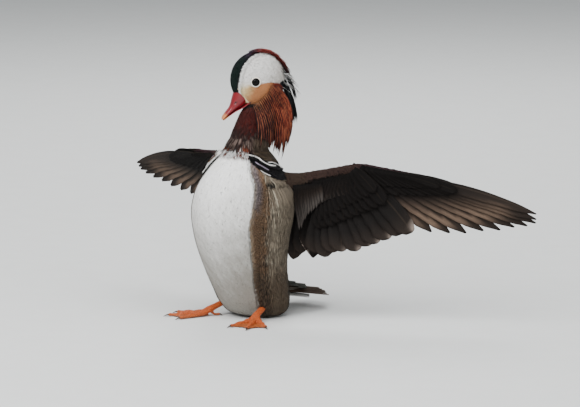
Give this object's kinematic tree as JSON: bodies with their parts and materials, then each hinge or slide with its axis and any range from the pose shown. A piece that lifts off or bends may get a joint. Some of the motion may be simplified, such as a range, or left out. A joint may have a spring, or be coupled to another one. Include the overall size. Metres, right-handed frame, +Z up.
{
  "type": "mandarin duck",
  "caption": "Life-size drake mandarin duck rearing upright on its hind belly, wings spread and swept back, head turned and bill down.",
  "frame": {"origin": "on the floor, at the flat of the hind belly that the bird sits on, in its plane of symmetry", "axes": "+Z up, -Y the way the bird's breast faces, +X its left side"},
  "size_m": [0.5855, 0.233, 0.3016],
  "materials": {
    "belly_feathers": "soft white and buff feathers",
    "throat_feathers": "dark maroon feathers",
    "face_feathers": "white, orange and dark feathers",
    "bill_horn": "red horn, satin",
    "eye_gloss": "wet gloss",
    "wing_feathers": "dark brown flight feathers",
    "tail_feathers": "dark brown feathers",
    "leg_skin": "orange scaled skin"
  },
  "bodies": {
    "root": {"torso": "belly_feathers", "neck": "throat_feathers", "head": "face_feathers", "bill_upper": "bill_horn", "bill_lower": "bill_horn", "eye_left": "eye_gloss", "eye_right": "eye_gloss", "wing_left": "wing_feathers", "wing_right": "wing_feathers", "tail": "tail_feathers", "leg_left": "leg_skin", "leg_right": "leg_skin"}
  },
  "joints": []
}
